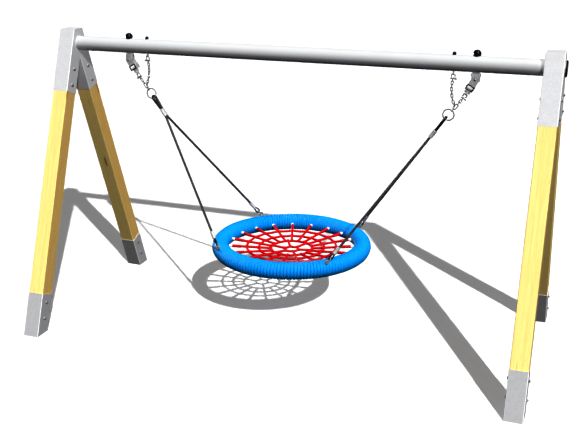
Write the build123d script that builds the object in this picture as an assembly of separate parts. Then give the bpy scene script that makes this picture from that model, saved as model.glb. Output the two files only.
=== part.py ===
from build123d import *
import math
import os

# Nest swing: a round net seat on two slings of rope, hung from two hangers under a steel beam on two A-frames.
# Millimetres. Origin on the ground below the middle of the beam. +X along the beam, +Y back, +Z up.

# Frame
FRAME_X = 1800.0  # centre plane of each A-frame, either side of the middle
LEG_LEAN = 20.0  # each leg's lean from the vertical, degrees
HEAD_TOP_Z = 2217.0
HEAD_TOP_HALF = 56.0  # half the depth of the head bracket's flat top
POST_SIDE = 120.0
SHEET = 3.0  # sheet steel of brackets and shoes
POST_GAP = 0.2  # gap between a post and the sheet round it
SLEEVE_SIDE = POST_SIDE + 2 * (POST_GAP + SHEET)
HEAD_SLEEVE_LENGTH = 475.0  # along the leg's outer face, from the flat top
SHOE_LENGTH = 330.0  # along the leg's outer face, from the ground
SHOE_FLOOR = 5.0
SLEEVE_EDGE_R = 5.0  # bend radius on the sleeves' long edges
POST_TOP = 2180.0  # along the leg from its foot, below the beam tube
POST_CHAMFER = 3.0
TOP_NOTCH = 8.0  # relief notch at each corner of the head bracket's flat top

# Beam
BEAM_Z = 2107.0
BEAM_R = 54.0
BEAM_WALL = 3.6
BEAM_END = FRAME_X + SLEEVE_SIDE / 2 + 4.0
CAP_FACE = 11.0  # how far a beam cap stands out from the tube's end
CAP_PLUG = 25.0

# Frame bolts
FRAME_BOLT_R = 5.0
BOLT_CLEARANCE = 0.5
FRAME_BOLT_DOME_R = 14.0
FRAME_BOLT_DOME_H = 10.0
FRAME_NUT_R = 9.5
FRAME_NUT_H = 12.0
HEAD_BOLTS_ALONG = (2065.0, 1942.0)  # from the foot, along the leg
SHOE_BOLTS_ALONG = (267.0, 144.0)

# Hanger, fixed part
HANGER_X = 1300.0
SWING_Z = 2035.0  # height of the swing axis, which runs along the beam
BLOCK_LENGTH = 44.0
BLOCK_DEPTH = 26.0
SWING_PIN_R = 6.0
RUNNING_GAP = 0.05
HANGER_BOLT_R = 6.0
HANGER_BOLT_BOTTOM = SWING_Z + SWING_PIN_R + 2.0
HANGER_BOLT_HEAD_R = 11.0
HANGER_BOLT_HEAD_H = 8.0
HANGER_BOLT_RISE = 4.0  # from the top of the beam to the underside of the bolt's head
HANGER_WASHER_R = 12.0
HANGER_WASHER_H = 6.0
HANGER_CAP_CAVITY_R = 13.0
HANGER_CAP_CAVITY_H = 14.0  # above the top of the beam
HANGER_CAP_R = 26.5
HANGER_CAP_TOP = 2201.0

# Hanger, moving part
YOKE_CHEEK_INNER = BLOCK_LENGTH / 2 + 0.5
YOKE_WALL = 4.0
YOKE_DEPTH = 38.0
YOKE_TOP_R = 15.0
HUB_Z = 2005.0
HUB_LOBE_R = 21.0
LINK_LEAN = 29.5  # degrees from the vertical, towards the middle
LINK_WIDTH = 50.0
LINK_PLATE = 4.0
LINK_GAP = 0.5
WINDOW_DISTANCE = 65.0  # from the hub pin to the barrel's axis
WINDOW_WIDTH = 38.0
WINDOW_HEIGHT = 24.0
WINDOW_FRAME_WIDTH = 54.0
WINDOW_FRAME_HEIGHT = 38.0
WINDOW_FRAME_THICK = 2.5
BARREL_R = 18.5
AXLE_R = 5.0
TONGUE_WIDTH = 40.0
TONGUE_THICK = 8.0
TONGUE_LUG_R = 12.0
TONGUE_LUG_THICK = 10.0
BOW_TOP = 115.0  # top of the shackle's bow, from the hub pin
SHACKLE_PIN_DISTANCE = 150.0
SHACKLE_WIRE_R = 4.0
SHACKLE_HALF_WIDTH = 12.0  # centre line of a leg from the shackle's middle

# Chains and rings
CHAIN_LEAN = 38.0
LINK_WIRE_R = 2.75
LINK_INNER_LENGTH = 22.0
LINK_INNER_WIDTH = 9.0
JOINT_WIRE_R = 3.25
JOINT_INNER_LENGTH = 36.0
JOINT_INNER_WIDTH = 14.0
CONTACT_GAP = 0.2
RING_R = 38.0  # centre line of the hanging ring
RING_WIRE_R = 4.0
SAFETY_X = 1150.0
SAFETY_PIN_Z = 2002.0
SAFETY_LINKS = 9
SAFETY_LAST_REACH = 6.0  # from the last link's middle to the joint link's side
SAFETY_WIRE_R = 3.5
SAFETY_HALF_WIDTH = 13.0
EYE_HOLE_R = 7.5
EYE_WIRE_R = 3.25
SAFETY_BOLT_R = 5.0
SAFETY_CAP_R = 13.5
SAFETY_CAP_TOP = 2182.0
SAFETY_CAP_CAVITY_R = 10.0
SAFETY_CAP_CAVITY_H = 9.0
SAFETY_NUT_R = 9.0
SAFETY_NUT_H = 6.0

# Seat
SEAT_Z = 674.0  # centre plane of the seat ring
SEAT_R = 536.0  # centre line of the seat ring
WINDING_R = 64.0
FOAM_R = 44.5
RING_TUBE_R = 21.0
RING_TUBE_WALL = 2.5
SEAT_EYE_REACH = 87.0  # from the ring's centre line to a seat shackle's pin
SEAT_EYE_RISE = 50.0  # degrees above the horizontal, outwards
SEAT_EYE_HOLE_R = 8.0
SEAT_EYE_WIRE_R = 5.0
SEAT_SHANK_R = 6.0
SEAT_SHACKLE_HALF_WIDTH = 11.0
SEAT_SHACKLE_LENGTH = 33.0
NET_RADIALS = 19
NET_CLIP_RADIUS = 460.0
NET_CLIP_R = 11.5
NET_CLIP_LENGTH = 23.0
NET_RING_RADII = (156.0, 249.0, 342.0)
NET_HUB_RADIUS = 55.0
NET_SPOKES = 6
NET_SAG = 41.0
NET_ROPE = 16.0

# Ropes
ROPE_R = 9.0
HOSE_R = 9.5
EYE_LOOP_R = 12.0  # inside radius of the eye on the ring
EYE_LOOP_GAP = 0.6
EYE_LENGTH = 102.0  # from the ring's wire to the eye's ferrule
EYE_FERRULE_LENGTH = 62.0
EYE_FERRULE_HALF_WIDTH = 22.0
EYE_FERRULE_HALF_THICK = 15.0
ROPE_SPACING = 18.2  # between the two ropes where they leave the eye's ferrule
FERRULE_LENGTH = 60.0
FERRULE_HALF_WIDTH = 14.5
FERRULE_HALF_THICK = 13.0
THIMBLE_R = 5.5
THIMBLE_LOOP_R = 8.0
THIMBLE_LENGTH = 72.0  # from the seat shackle's pin to the ferrule

LEG_SIN = math.sin(math.radians(LEG_LEAN))
LEG_COS = math.cos(math.radians(LEG_LEAN))
FOOT_Y = HEAD_TOP_HALF + HEAD_TOP_Z * LEG_SIN / LEG_COS
SLEEVE_BOTTOM = HEAD_TOP_Z / LEG_COS - HEAD_SLEEVE_LENGTH


def lean_direction(degrees):
    """Unit vector in the XZ plane, down and towards the middle, for the right-hand side."""
    angle = math.radians(degrees)
    return Vector(-math.sin(angle), 0, -math.cos(angle))


def both_sides(shape):
    """The right-hand shape and its mirror image on the left."""
    return {"right": shape, "left": mirror(shape, about=Plane.YZ)}


def group(shapes):
    """Several separate solids as one compound."""
    solids = []
    for shape in shapes:
        solids.extend(shape.solids())
    return Compound(children=solids)


# ---- frame ----

def leg_point(along, depth):
    """(y, z) of a point on the front leg: along its outer face from the ground, and in from that face."""
    y = -FOOT_Y + along * LEG_SIN + depth * LEG_COS
    z = along * LEG_COS - depth * LEG_SIN
    return (y, z)


def leg_point_at_height(z, depth):
    return leg_point((z + depth * LEG_SIN) / LEG_COS, depth)


def across(profile, width, x_centre=FRAME_X):
    """A profile in the YZ plane, extruded along X about x_centre."""
    face = Plane.YZ.offset(x_centre - width / 2) * Polygon(*profile, align=None)
    return extrude(face, amount=width, dir=(1, 0, 0))


def mirrored_profile(half):
    """A closed profile from its front half, which runs from the top to the middle of the underside."""
    return half + [(-y, z) for y, z in reversed(half) if abs(y) > 1e-6]


def head_profile(wall):
    """Outline of the head bracket, moved in by wall, with open sleeves when wall is above 0."""
    inner = SLEEVE_SIDE - wall
    bottom = SLEEVE_BOTTOM - wall
    top_z = HEAD_TOP_Z - wall
    crotch_along = (FOOT_Y - inner * LEG_COS) / LEG_SIN
    crotch_z = crotch_along * LEG_COS - inner * LEG_SIN
    top_y = leg_point_at_height(top_z, wall)[0]
    return mirrored_profile([(top_y, top_z), leg_point(bottom, wall), leg_point(bottom, inner), (0.0, crotch_z)])


def leg_edges(solid):
    """The sleeves' long edges, which run along the legs or over the top."""
    found = []
    for edge in solid.edges():
        direction = edge.tangent_at(0.5)
        steep = abs(direction.Z) > 0.9 and abs(direction.X) < 0.01
        if steep:
            found.append(edge)
    return found


def head_bracket():
    outer = across(head_profile(0.0), SLEEVE_SIDE)
    outer = fillet(leg_edges(outer), SLEEVE_EDGE_R)
    inner = across(head_profile(SHEET), SLEEVE_SIDE - 2 * SHEET)
    inner = fillet(leg_edges(inner), SLEEVE_EDGE_R - SHEET)
    bracket = outer - inner
    for x in (FRAME_X - SLEEVE_SIDE / 2, FRAME_X + SLEEVE_SIDE / 2):
        for y in (-HEAD_TOP_HALF, HEAD_TOP_HALF):
            bracket -= Pos(x, y, HEAD_TOP_Z) * Box(2 * TOP_NOTCH, 2 * TOP_NOTCH, 2 * SHEET)
    bracket -= Pos(FRAME_X, 0, BEAM_Z) * Rot(0, 90, 0) * Cylinder(BEAM_R + RUNNING_GAP, 2 * SLEEVE_SIDE)
    return drill(bracket, front_and_rear(bolt_places(HEAD_BOLTS_ALONG)))


def post():
    near = SHEET + POST_GAP
    far = near + POST_SIDE
    profile = [
        leg_point_at_height(SHOE_FLOOR, near),
        leg_point(POST_TOP, near),
        leg_point(POST_TOP, far),
        leg_point_at_height(SHOE_FLOOR, far),
    ]
    timber = across(profile, POST_SIDE)
    timber = chamfer(leg_edges(timber), POST_CHAMFER)
    return drill(timber, bolt_places(HEAD_BOLTS_ALONG + SHOE_BOLTS_ALONG))


def shoe():
    def profile(wall, floor):
        far = SLEEVE_SIDE - wall
        top = SHOE_LENGTH + wall
        return [
            leg_point_at_height(floor, wall),
            leg_point(top, wall),
            leg_point(top, far),
            leg_point_at_height(floor, far),
        ]

    outer = across(profile(0.0, 0.0), SLEEVE_SIDE)
    outer = fillet(leg_edges(outer), SLEEVE_EDGE_R)
    inner = across(profile(SHEET, SHOE_FLOOR), SLEEVE_SIDE - 2 * SHEET)
    inner = fillet(leg_edges(inner), SLEEVE_EDGE_R - SHEET)
    return drill(outer - inner, bolt_places(SHOE_BOLTS_ALONG))


def bolt_places(alongs):
    """(y, z) of the front leg's cross bolts."""
    return [leg_point(along, SLEEVE_SIDE / 2) for along in alongs]


def drill(body, places):
    """Bolt holes through a right-hand piece, along X."""
    for y, z in places:
        body -= Pos(FRAME_X, y, z) * Rot(0, 90, 0) * Cylinder(FRAME_BOLT_R + BOLT_CLEARANCE, 2 * SLEEVE_SIDE)
    return body


def front_and_rear(places):
    return places + [(-y, z) for y, z in places]


def dome(radius, height, rim=1.5):
    """A domed head that stands on z = 0, with a short straight rim."""
    cap_height = height - rim
    sphere_r = (radius ** 2 + cap_height ** 2) / (2 * cap_height)
    ball = Pos(0, 0, height - sphere_r) * Sphere(sphere_r)
    return ball & Cylinder(radius, height, align=(Align.CENTER, Align.CENTER, Align.MIN))


def frame_bolt():
    """A coach bolt along +X from its domed head, whose underside is at x = 0."""
    shank = Cylinder(FRAME_BOLT_R, SLEEVE_SIDE + 8.0, align=(Align.CENTER, Align.CENTER, Align.MIN))
    head = Rot(180, 0, 0) * dome(FRAME_BOLT_DOME_R, FRAME_BOLT_DOME_H)
    return Rot(0, 90, 0) * (shank + head)


def frame_nut():
    """A dome nut that stands on x = 0, towards +X."""
    bore = Cylinder(FRAME_BOLT_R + RUNNING_GAP, 8.5, align=(Align.CENTER, Align.CENTER, Align.MIN))
    return Rot(0, 90, 0) * (dome(FRAME_NUT_R, FRAME_NUT_H, rim=6.0) - bore)


def frame_fasteners():
    """Every cross bolt and its nut, heads towards the middle of the swing."""
    bolts = []
    nuts = []
    half = SLEEVE_SIDE / 2
    for y, z in front_and_rear(bolt_places(HEAD_BOLTS_ALONG + SHOE_BOLTS_ALONG)):
        bolts.extend(both_sides(Pos(FRAME_X - half, y, z) * frame_bolt()).values())
        nuts.extend(both_sides(Pos(FRAME_X + half, y, z) * frame_nut()).values())
    return group(bolts), group(nuts)


def beam_tube():
    length = 2 * BEAM_END
    tube = Rot(0, 90, 0) * (Cylinder(BEAM_R, length) - Cylinder(BEAM_R - BEAM_WALL, length))
    for side in (-1, 1):
        tube -= Pos(side * HANGER_X, 0, 0) * Cylinder(HANGER_BOLT_R + BOLT_CLEARANCE, 3 * BEAM_R)
        tube -= Pos(side * SAFETY_X, 0, 0) * Cylinder(SAFETY_BOLT_R + BOLT_CLEARANCE, 3 * BEAM_R)
    return Pos(0, 0, BEAM_Z) * tube


def beam_cap():
    plug_r = BEAM_R - BEAM_WALL - 0.1
    face = Cylinder(BEAM_R, CAP_FACE, align=(Align.CENTER, Align.CENTER, Align.MIN))
    face = fillet(face.edges().sort_by(Axis.Z)[-1], 6.0)
    plug = Cylinder(plug_r, CAP_PLUG, align=(Align.CENTER, Align.CENTER, Align.MAX))
    plug -= Cylinder(plug_r - 4.0, CAP_PLUG, align=(Align.CENTER, Align.CENTER, Align.MAX))
    return Pos(BEAM_END, 0, BEAM_Z) * Rot(0, 90, 0) * (face + plug)


# ---- hanger, fixed part ----

def beam_cutter():
    return Pos(0, 0, BEAM_Z) * Rot(0, 90, 0) * Cylinder(BEAM_R + RUNNING_GAP, 2 * BEAM_END)


def standing(x, bottom_z, radius, height):
    """An upright cylinder on the beam's centre plane."""
    return Pos(x, 0, bottom_z) * Cylinder(radius, height, align=(Align.CENTER, Align.CENTER, Align.MIN))


def bearing_block():
    body = Pos(HANGER_X, 0, SWING_Z + 15) * Box(BLOCK_LENGTH, BLOCK_DEPTH, 30)
    body += Pos(HANGER_X, 0, SWING_Z) * Rot(0, 90, 0) * Cylinder(BLOCK_DEPTH / 2, BLOCK_LENGTH)
    body -= beam_cutter()
    body -= Pos(HANGER_X, 0, SWING_Z) * Rot(0, 90, 0) * Cylinder(SWING_PIN_R, BLOCK_LENGTH)
    body -= standing(HANGER_X, HANGER_BOLT_BOTTOM, HANGER_BOLT_R + RUNNING_GAP, BEAM_R)
    return body


def swing_pin():
    length = 2 * (YOKE_CHEEK_INNER + YOKE_WALL) + 2.0
    head = Pos(0, 0, length / 2 + 0.3) * Cylinder(9.0, 4.0, align=(Align.CENTER, Align.CENTER, Align.MIN))
    tail = Pos(0, 0, -length / 2 - 0.3) * Cylinder(9.0, 4.0, align=(Align.CENTER, Align.CENTER, Align.MAX))
    shaft = Cylinder(SWING_PIN_R, length + 1.0)
    return Pos(HANGER_X, 0, SWING_Z) * Rot(0, 90, 0) * (shaft + head + tail)


def hanger_bolt():
    """Vertical bolt from the bearing block up through the beam, with a hexagon head and a saddle washer on top."""
    under_head = BEAM_Z + BEAM_R + HANGER_BOLT_RISE
    shank = standing(HANGER_X, HANGER_BOLT_BOTTOM, HANGER_BOLT_R, under_head - HANGER_BOLT_BOTTOM)
    head = Pos(HANGER_X, 0, under_head) * extrude(RegularPolygon(HANGER_BOLT_HEAD_R, 6), amount=HANGER_BOLT_HEAD_H)
    washer = standing(HANGER_X, under_head - HANGER_WASHER_H, HANGER_WASHER_R, HANGER_WASHER_H) - beam_cutter()
    return shank + washer + head


def dome_cap(x, radius, top_z, cavity_r, cavity_height):
    """A black dome cap that sits on the beam over a bolt head, with a cavity that high above the beam."""
    base_z = BEAM_Z + math.sqrt(BEAM_R ** 2 - radius ** 2) - 1.0
    outer = dome(radius, top_z - base_z, rim=(top_z - base_z) * 0.3)
    cavity_top = BEAM_Z + BEAM_R + cavity_height
    cavity = Cylinder(cavity_r, cavity_top - base_z, align=(Align.CENTER, Align.CENTER, Align.MIN))
    return Pos(x, 0, base_z) * (outer - cavity) - beam_cutter()


def safety_eyebolt():
    """Eyebolt through the beam. Its eye lies across the beam, and the shackle's bow rests in it."""
    eye_z = SWING_Z + EYE_HOLE_R - SAFETY_WIRE_R - 2 * CONTACT_GAP
    eye = Pos(SAFETY_X, 0, eye_z) * Rot(0, 90, 0) * Torus(EYE_HOLE_R + EYE_WIRE_R, EYE_WIRE_R)
    shank_bottom = eye_z + EYE_HOLE_R + EYE_WIRE_R
    shank_top = BEAM_Z + BEAM_R + SAFETY_NUT_H + 1.0
    return eye + standing(SAFETY_X, shank_bottom, SAFETY_BOLT_R, shank_top - shank_bottom)


def safety_nut():
    nut = Pos(SAFETY_X, 0, BEAM_Z + BEAM_R) * extrude(RegularPolygon(SAFETY_NUT_R, 6), amount=SAFETY_NUT_H)
    return nut - standing(SAFETY_X, BEAM_Z, SAFETY_BOLT_R + RUNNING_GAP, 2 * BEAM_R) - beam_cutter()


# ---- hanger, moving part ----

def rounded_plate(points, lobes, y_low, y_high):
    """A plate in the XZ plane between two y values: a polygon with round lobes (x, z, radius) added."""
    sketch = Polygon(*points, align=None)
    for x, z, radius in lobes:
        sketch += Pos(x, z) * Circle(radius)
    return extrude(Plane.XZ.offset(-y_low) * sketch, amount=y_high - y_low, dir=(0, 1, 0))


def yoke():
    """Square yoke: cheeks on the swing pin, front and rear plates on the hub pin."""
    outer_x = YOKE_CHEEK_INNER + YOKE_WALL
    outer_y = YOKE_DEPTH / 2
    top_z = SWING_Z - 8.0
    cheek_profile = [
        (-outer_y, HUB_Z - 15.0),
        (outer_y, HUB_Z - 15.0),
        (outer_y, top_z),
        (YOKE_TOP_R, SWING_Z),
        (-YOKE_TOP_R, SWING_Z),
        (-outer_y, top_z),
    ]
    body = None
    for side in (-1, 1):
        x_centre = HANGER_X + side * (YOKE_CHEEK_INNER + YOKE_WALL / 2)
        cheek = across(cheek_profile, YOKE_WALL, x_centre)
        cheek += Pos(x_centre, 0, SWING_Z) * Rot(0, 90, 0) * Cylinder(YOKE_TOP_R, YOKE_WALL)
        body = cheek if body is None else body + cheek
    plate_points = [
        (HANGER_X - outer_x, HUB_Z - 10.0),
        (HANGER_X + outer_x, HUB_Z - 10.0),
        (HANGER_X + outer_x, top_z),
        (HANGER_X - outer_x, top_z),
    ]
    for low, high in ((-outer_y, -outer_y + YOKE_WALL), (outer_y - YOKE_WALL, outer_y)):
        body += rounded_plate(plate_points, [(HANGER_X, HUB_Z, HUB_LOBE_R)], low, high)
    body -= Pos(HANGER_X, 0, SWING_Z) * Rot(0, 90, 0) * Cylinder(SWING_PIN_R + RUNNING_GAP, 100)
    body -= Pos(HANGER_X, 0, HUB_Z) * Rot(90, 0, 0) * Cylinder(AXLE_R + RUNNING_GAP, 100)
    return body


def link_plane():
    """Plane of the leaning link: local x across it, local y down it, from the hub pin; its normal is along Y."""
    down = lean_direction(LINK_LEAN)
    side = Vector(-down.Z, 0, down.X)
    return Plane(origin=(HANGER_X, 0, HUB_Z), x_dir=side, z_dir=side.cross(down))


def in_link(x, y, low, high, width, height):
    """A box on the link: centre (x, y) on the link's plane, and from low to high along the plane's normal."""
    return link_plane() * Pos(x, y, (low + high) / 2) * Box(width, height, high - low)


def across_link(distance, radius, length, offset=0.0):
    """A cylinder across the link at a distance down it."""
    return link_plane() * Pos(offset, distance, 0) * Rot(0, 90, 0) * Cylinder(radius, length)


def link():
    """Leaning link: two plates on the hub pin, with cheeks that hold the barrel's axle."""
    inner = YOKE_DEPTH / 2 + LINK_GAP
    outer = inner + LINK_PLATE
    bottom = WINDOW_DISTANCE + WINDOW_FRAME_HEIGHT / 2
    plane = link_plane()
    sketch = Pos(0, bottom / 2) * Rectangle(LINK_WIDTH, bottom) + Circle(LINK_WIDTH / 2)
    sketch -= Circle(AXLE_R + RUNNING_GAP)
    sketch -= Pos(0, WINDOW_DISTANCE) * Rectangle(WINDOW_WIDTH, WINDOW_HEIGHT)
    body = extrude(plane.offset(inner) * sketch, amount=LINK_PLATE)
    body += extrude(plane.offset(-outer) * sketch, amount=LINK_PLATE)
    cheek_height = WINDOW_FRAME_HEIGHT + 4.0
    cheek_middle = bottom - cheek_height / 2
    for side in (-1, 1):
        x = side * (LINK_WIDTH / 2 - LINK_PLATE / 2)
        body += in_link(x, cheek_middle, -outer, outer, LINK_PLATE, cheek_height)
    body -= across_link(WINDOW_DISTANCE, AXLE_R + RUNNING_GAP, 2 * LINK_WIDTH)
    return body


def window_frames():
    """Black frames round the link's front and rear windows."""
    outer = YOKE_DEPTH / 2 + LINK_GAP + LINK_PLATE
    sketch = Pos(0, WINDOW_DISTANCE) * Rectangle(WINDOW_FRAME_WIDTH, WINDOW_FRAME_HEIGHT)
    sketch -= Pos(0, WINDOW_DISTANCE) * Rectangle(WINDOW_WIDTH, WINDOW_HEIGHT)
    plane = link_plane()
    front = extrude(plane.offset(outer) * sketch, amount=WINDOW_FRAME_THICK)
    rear = extrude(plane.offset(-outer - WINDOW_FRAME_THICK) * sketch, amount=WINDOW_FRAME_THICK)
    return group([front, rear])


def barrel():
    length = LINK_WIDTH - 2 * LINK_PLATE - 1.0
    bore = across_link(WINDOW_DISTANCE, AXLE_R + RUNNING_GAP, length + 2)
    return across_link(WINDOW_DISTANCE, BARREL_R, length) - bore


def tongue():
    """Strap that hangs from the barrel, with a cross lug for the shackle's bow."""
    start = WINDOW_DISTANCE + BARREL_R - 1.5
    shoulder = BOW_TOP - SHACKLE_WIRE_R - 1.5
    hole_at = BOW_TOP - 1.0
    strap = in_link(0, (start + shoulder) / 2, -TONGUE_THICK / 2, TONGUE_THICK / 2, TONGUE_WIDTH, shoulder - start)
    lug_start = shoulder - 8.0
    lug = in_link(0, (lug_start + hole_at) / 2, -TONGUE_LUG_R, TONGUE_LUG_R, TONGUE_LUG_THICK, hole_at - lug_start)
    lug += across_link(hole_at, TONGUE_LUG_R, TONGUE_LUG_THICK)
    body = strap + lug
    body -= across_link(hole_at, SHACKLE_WIRE_R + 3.5, 2 * TONGUE_LUG_THICK)
    body -= across_link(WINDOW_DISTANCE, BARREL_R, LINK_WIDTH)
    return body


def bow(plane, half_width, length, wire_r):
    """A shackle's bow on a plane: legs along local y from the pin, and a round end at the length given."""
    arc_start = length - half_width
    left_leg = Line((-half_width, 0), (-half_width, arc_start))
    arc = ThreePointArc((-half_width, arc_start), (0, length), (half_width, arc_start))
    right_leg = Line((half_width, arc_start), (half_width, 0))
    path = Wire([plane * left_leg, plane * arc, plane * right_leg])
    section = Plane(origin=path @ 0, z_dir=path % 0) * Circle(wire_r)
    body = sweep(section, path=path)
    for side in (-1, 1):
        boss = plane * Pos(side * half_width, 0, 0) * Rot(0, 90, 0) * Cylinder(wire_r + 3.0, 2 * wire_r + 1.0)
        body += boss
    return body - plane * Rot(0, 90, 0) * Cylinder(wire_r + RUNNING_GAP, 8 * half_width)


def shackle_pin(plane, half_width, wire_r):
    """A pin across a shackle, with a round head that stands out on the local +x side."""
    length = 2 * (half_width + wire_r) + 2.0
    shaft = Cylinder(wire_r, length)
    head = Pos(0, 0, length / 2 + 3.0) * Cylinder(wire_r + 2.5, 6.0)
    return plane * Rot(0, 90, 0) * (shaft + head)


def shackle_plane():
    """Plane of the main shackle: origin on its pin, local y up towards the tongue."""
    base = link_plane()
    origin = base.origin + base.y_dir * SHACKLE_PIN_DISTANCE
    return Plane(origin=origin, x_dir=base.x_dir, z_dir=-base.z_dir)


def hanger_pins():
    """Hub pin, barrel axle and the main and safety shackle pins of one hanger."""
    hub_length = YOKE_DEPTH + 2 * (LINK_GAP + LINK_PLATE) + 1.0
    shaft = Cylinder(AXLE_R, hub_length)
    head = Pos(0, 0, hub_length / 2) * dome(9.0, 5.0)
    tail = Pos(0, 0, -hub_length / 2) * Rot(180, 0, 0) * dome(9.0, 5.0)
    hub = Pos(HANGER_X, 0, HUB_Z) * Rot(90, 0, 0) * (shaft + head + tail)
    axle = across_link(WINDOW_DISTANCE, AXLE_R, LINK_WIDTH + 3.0)
    for side in (-1, 1):
        axle += across_link(WINDOW_DISTANCE, 8.0, 3.0, offset=side * (LINK_WIDTH / 2 + 2.0))
    main_pin = shackle_pin(shackle_plane(), SHACKLE_HALF_WIDTH, SHACKLE_WIRE_R)
    safety_pin = shackle_pin(safety_plane(), SAFETY_HALF_WIDTH, SAFETY_WIRE_R)
    return group([hub, axle, main_pin, safety_pin])


def safety_plane():
    return Plane(origin=(SAFETY_X, 0, SAFETY_PIN_Z), x_dir=(1, 0, 0), z_dir=(0, -1, 0))


def chain_link(inner_length, inner_width, wire_r):
    """A link in the XY plane, long along Y: two round ends and two straight sides."""
    end_r = inner_width / 2 + wire_r
    half = inner_length / 2 - inner_width / 2
    lower = Line((-end_r, half), (-end_r, -half))
    lower_arc = ThreePointArc((-end_r, -half), (0, -half - end_r), (end_r, -half))
    upper = Line((end_r, -half), (end_r, half))
    upper_arc = ThreePointArc((end_r, half), (0, half + end_r), (-end_r, half))
    path = Wire([lower, lower_arc, upper, upper_arc])
    section = Plane(origin=path @ 0, z_dir=path % 0) * Circle(wire_r)
    return sweep(section, path=path)


def place_link(shape, centre, direction, edge_on):
    """Put a link with its length along a direction in the XZ plane, flat in that plane or across it."""
    flat = Plane(origin=centre, x_dir=Vector(0, 1, 0).cross(direction), z_dir=(0, 1, 0))
    across_plane = Plane(origin=centre, x_dir=(0, 1, 0), z_dir=Vector(0, 1, 0).cross(direction))
    plane = across_plane if edge_on else flat
    return plane * shape


def chain_stations():
    """Distances from the shackle's pin to each small link, the joint link, the last link and the ring's wire."""
    small_end = LINK_INNER_LENGTH / 2
    first = small_end - SHACKLE_WIRE_R - CONTACT_GAP
    pitch = LINK_INNER_LENGTH - CONTACT_GAP
    to_joint = small_end + JOINT_INNER_LENGTH / 2 - CONTACT_GAP
    joint = first + 2 * pitch + to_joint
    last = joint + to_joint
    ring_wire = last + small_end - RING_WIRE_R - CONTACT_GAP
    return [first, first + pitch, first + 2 * pitch], joint, last, ring_wire


def along_chain(distance):
    return shackle_plane().origin + lean_direction(CHAIN_LEAN) * distance


def main_chain():
    """Small links in turn across and flat, with the larger joint link before the last one."""
    small = chain_link(LINK_INNER_LENGTH, LINK_INNER_WIDTH, LINK_WIRE_R)
    joint = chain_link(JOINT_INNER_LENGTH, JOINT_INNER_WIDTH, JOINT_WIRE_R)
    direction = lean_direction(CHAIN_LEAN)
    upper, joint_at, last_at, _ = chain_stations()
    links = []
    for index, distance in enumerate(upper):
        links.append(place_link(small, along_chain(distance), direction, edge_on=index % 2 == 0))
    links.append(place_link(joint, along_chain(joint_at), direction, edge_on=False))
    links.append(place_link(small, along_chain(last_at), direction, edge_on=True))
    return group(links)


def ring_centre():
    return along_chain(chain_stations()[3] + RING_R)


def hanging_ring():
    return Plane(origin=ring_centre(), x_dir=(1, 0, 0), z_dir=(0, 1, 0)) * Torus(RING_R, RING_WIRE_R)


def safety_chain():
    """Links on a shallow arc from the safety shackle's pin to the side of the joint link."""
    start = Vector(SAFETY_X, 0, SAFETY_PIN_Z)
    chain = lean_direction(CHAIN_LEAN)
    joint_side = Vector(chain.Z, 0, -chain.X) * (JOINT_INNER_WIDTH / 2 + JOINT_WIRE_R)
    end = along_chain(chain_stations()[1]) + joint_side
    first = LINK_INNER_LENGTH / 2 - SAFETY_WIRE_R - CONTACT_GAP
    pitch = LINK_INNER_LENGTH - CONTACT_GAP
    length = first + pitch * (SAFETY_LINKS - 1) + SAFETY_LAST_REACH
    chord = end - start
    half_angle = math.sqrt(6 * (1 - chord.length / length))
    radius = length / (2 * half_angle)
    along = chord.normalized()
    sideways = Vector(along.Z, 0, -along.X)
    arc_centre = (start + end) * 0.5 - sideways * (radius * math.cos(half_angle))
    small = chain_link(LINK_INNER_LENGTH, LINK_INNER_WIDTH, LINK_WIRE_R)
    links = []
    for index in range(SAFETY_LINKS):
        angle = -half_angle + (first + pitch * index) / radius
        centre = arc_centre + sideways * (radius * math.cos(angle)) + along * (radius * math.sin(angle))
        direction = along * math.cos(angle) - sideways * math.sin(angle)
        links.append(place_link(small, centre, direction, edge_on=index % 2 == 0))
    return group(links)


def safety_shackle():
    return bow(safety_plane(), SAFETY_HALF_WIDTH, SWING_Z - SAFETY_PIN_Z, SAFETY_WIRE_R)


# ---- ropes ----

def seat_pin_place(front):
    """Centre of a seat shackle's pin on the right-hand side, on the front or the rear half of the seat."""
    rise = math.radians(SEAT_EYE_RISE)
    radius = SEAT_R + SEAT_EYE_REACH * math.cos(rise)
    corner = radius * math.sqrt(0.5)
    return Vector(corner, -corner if front else corner, SEAT_Z + SEAT_EYE_REACH * math.sin(rise))


def pull_direction():
    """From the hanging ring's centre towards the seat, in the XZ plane."""
    target = seat_pin_place(True)
    return Vector(target.X - ring_centre().X, 0, target.Z - ring_centre().Z).normalized()


def rock_centre():
    """Centre of the ring's wire where the ropes pull on it: the seat rocks about this point."""
    return ring_centre() + pull_direction() * RING_R


def rope_start(front):
    """Where a rope leaves the ferrule of the eye, on the right-hand side."""
    down_pull = rock_centre() + pull_direction() * (EYE_LENGTH + EYE_FERRULE_LENGTH)
    return down_pull + Vector(0, -ROPE_SPACING / 2 if front else ROPE_SPACING / 2, 0)


def plane_along(origin, direction, normal_hint):
    """A plane whose local y is the direction, and whose normal is as near the hint as it can be."""
    normal = (normal_hint - direction * normal_hint.dot(direction)).normalized()
    return Plane(origin=origin, x_dir=direction.cross(normal), z_dir=normal)


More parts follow.
